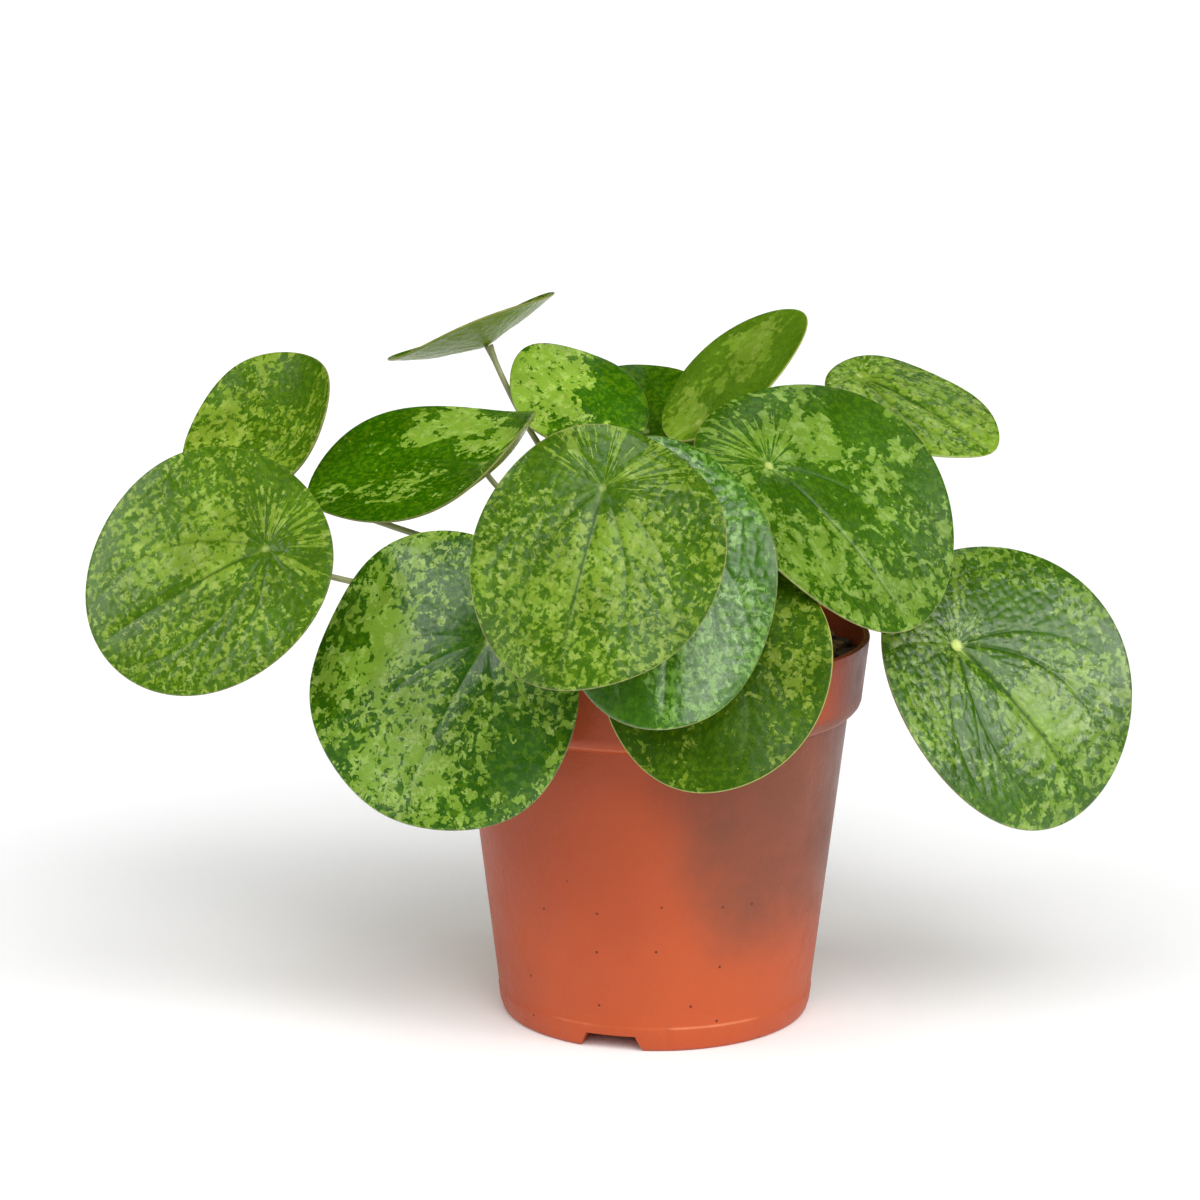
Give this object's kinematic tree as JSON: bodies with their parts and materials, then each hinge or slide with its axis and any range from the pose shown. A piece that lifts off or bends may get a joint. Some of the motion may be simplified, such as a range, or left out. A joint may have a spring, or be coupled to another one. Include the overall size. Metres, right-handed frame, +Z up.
{
  "type": "potted pilea plant",
  "caption": "Pilea with round, long-stalked, marbled green leaves spreading from a short woody stem, growing in soil in a tapered terracotta-coloured plastic nursery pot.",
  "frame": {"origin": "centre of the pot's flat base, on the surface that it stands on", "axes": "+Z up along the pot's axis; the side seen in the picture faces -Y; +X to the right of that view, across the widest spread of the leaves"},
  "size_m": [0.2898, 0.2177, 0.1958],
  "materials": {
    "pot": "satin",
    "soil": "matte",
    "stem": "matte",
    "petiole": "satin",
    "blade": "satin"
  },
  "bodies": {
    "root": {"pot": "pot", "soil": "soil", "woody_stem": "stem", "leaf_left_blade": "blade", "leaf_left_petiole": "petiole", "leaf_back_left_blade": "blade", "leaf_back_left_petiole": "petiole", "leaf_upper_left_blade": "blade", "leaf_upper_left_petiole": "petiole", "leaf_front_left_blade": "blade", "leaf_front_left_petiole": "petiole", "leaf_front_centre_blade": "blade", "leaf_front_centre_petiole": "petiole", "leaf_front_inner_blade": "blade", "leaf_front_inner_petiole": "petiole", "leaf_front_low_blade": "blade", "leaf_front_low_petiole": "petiole", "leaf_front_right_blade": "blade", "leaf_front_right_petiole": "petiole", "leaf_right_blade": "blade", "leaf_right_petiole": "petiole", "leaf_back_right_blade": "blade", "leaf_back_right_petiole": "petiole", "leaf_top_right_blade": "blade", "leaf_top_right_petiole": "petiole", "leaf_top_left_blade": "blade", "leaf_top_left_petiole": "petiole", "leaf_top_middle_blade": "blade", "leaf_top_middle_petiole": "petiole", "leaf_top_far_left_blade": "blade", "leaf_top_far_left_petiole": "petiole", "leaf_rear_right_blade": "blade", "leaf_rear_right_petiole": "petiole", "leaf_rear_middle_blade": "blade", "leaf_rear_middle_petiole": "petiole", "leaf_rear_left_blade": "blade", "leaf_rear_left_petiole": "petiole", "leaf_rear_side_blade": "blade", "leaf_rear_side_petiole": "petiole", "leaf_young_front_blade": "blade", "leaf_young_front_petiole": "petiole", "leaf_young_back_blade": "blade", "leaf_young_back_petiole": "petiole", "leaf_young_side_blade": "blade", "leaf_young_side_petiole": "petiole"}
  },
  "joints": []
}
